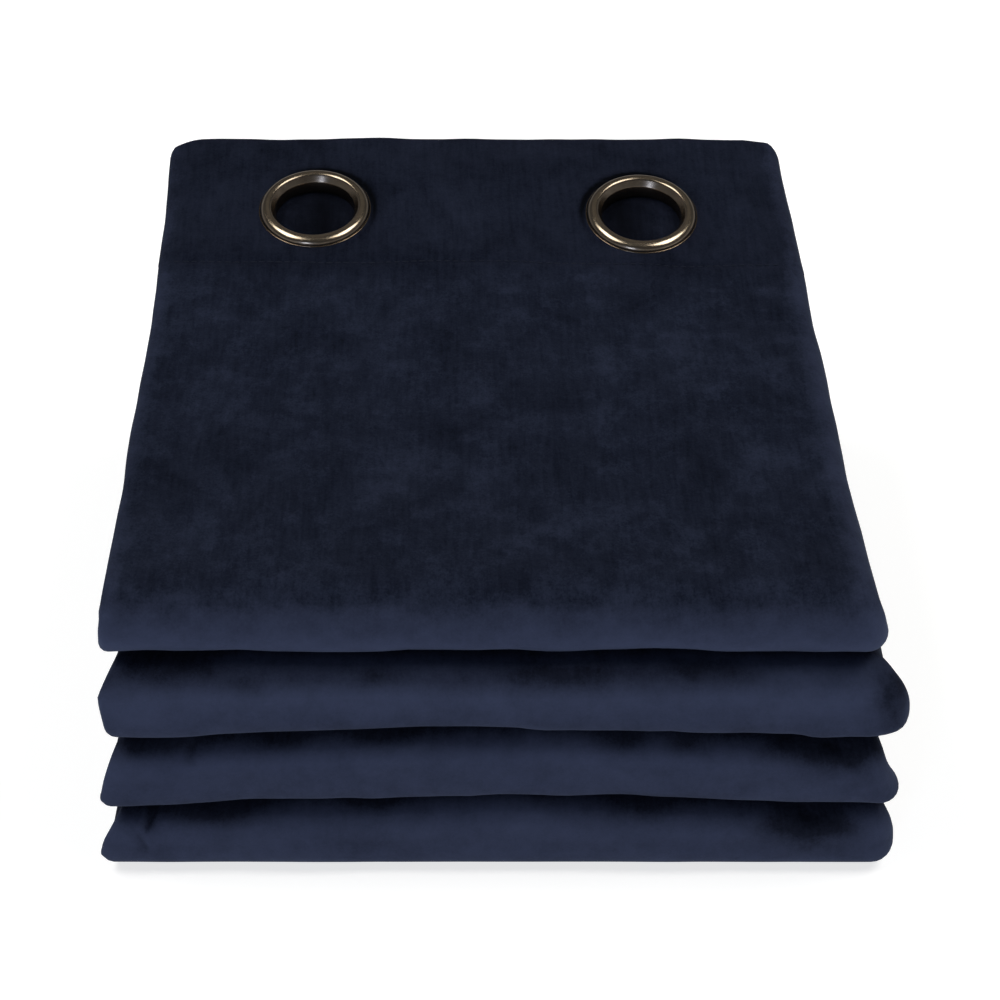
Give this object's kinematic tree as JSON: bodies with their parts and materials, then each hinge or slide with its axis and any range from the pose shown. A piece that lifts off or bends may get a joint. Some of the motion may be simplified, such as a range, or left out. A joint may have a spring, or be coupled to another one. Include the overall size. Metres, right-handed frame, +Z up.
{
  "type": "folded soundproof eyelet curtain",
  "caption": "Thick velvet soundproof curtain with an eyelet heading, folded into a stack: four layers across, folded back and forth along the drop.",
  "frame": {"origin": "centre of the folded stack's bounding box, on the surface that it lies on", "axes": "+X across the stack along the heading, +Y from the fat front folds to the heading's edge, +Z up"},
  "size_m": [0.3947, 0.3483, 0.2057],
  "materials": {
    "velvet": "short dense pile, blue-black, dark from above and lighter where a fold faces the viewer",
    "bronze": "antique bronze plating, satin, worn brighter on the crown"
  },
  "bodies": {
    "root": {"curtain": "velvet", "heading_band": "velvet", "eyelet_front_left": "bronze", "eyelet_front_right": "bronze", "eyelet_back_left": "bronze", "eyelet_back_right": "bronze"}
  },
  "joints": []
}
